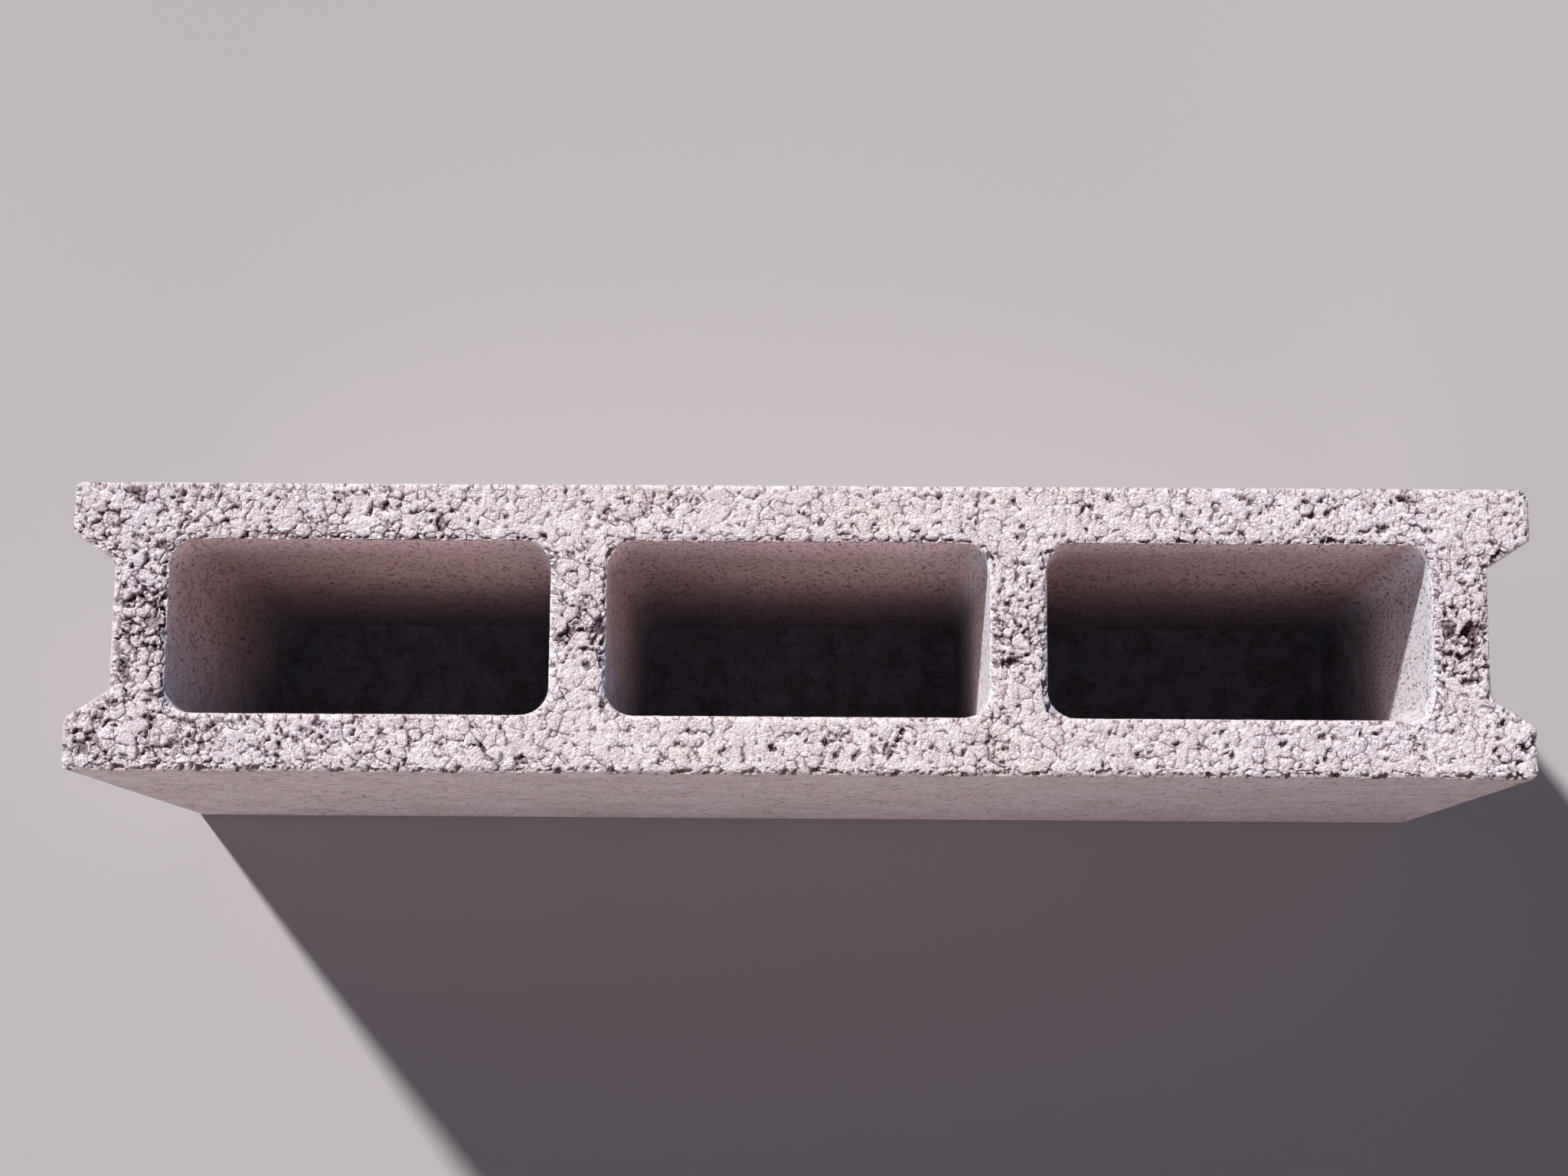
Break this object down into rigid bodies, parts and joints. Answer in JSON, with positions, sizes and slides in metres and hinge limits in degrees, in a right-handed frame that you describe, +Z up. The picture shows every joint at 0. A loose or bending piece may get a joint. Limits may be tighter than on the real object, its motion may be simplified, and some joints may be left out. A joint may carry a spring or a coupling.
{
  "type": "hollow concrete block",
  "caption": "Hollow concrete partition block with blind tapered cores open at the top and an upright mortar groove down each end.",
  "frame": {"origin": "middle of the bottom bed, the closed face that the block stands on", "axes": "+X along the length, +Y through the thickness to the back face, +Z up, out of the open cores"},
  "size_m": [0.5, 0.1, 0.2],
  "materials": {
    "concrete": "matte"
  },
  "bodies": {
    "root": {"block": "concrete"}
  },
  "joints": []
}
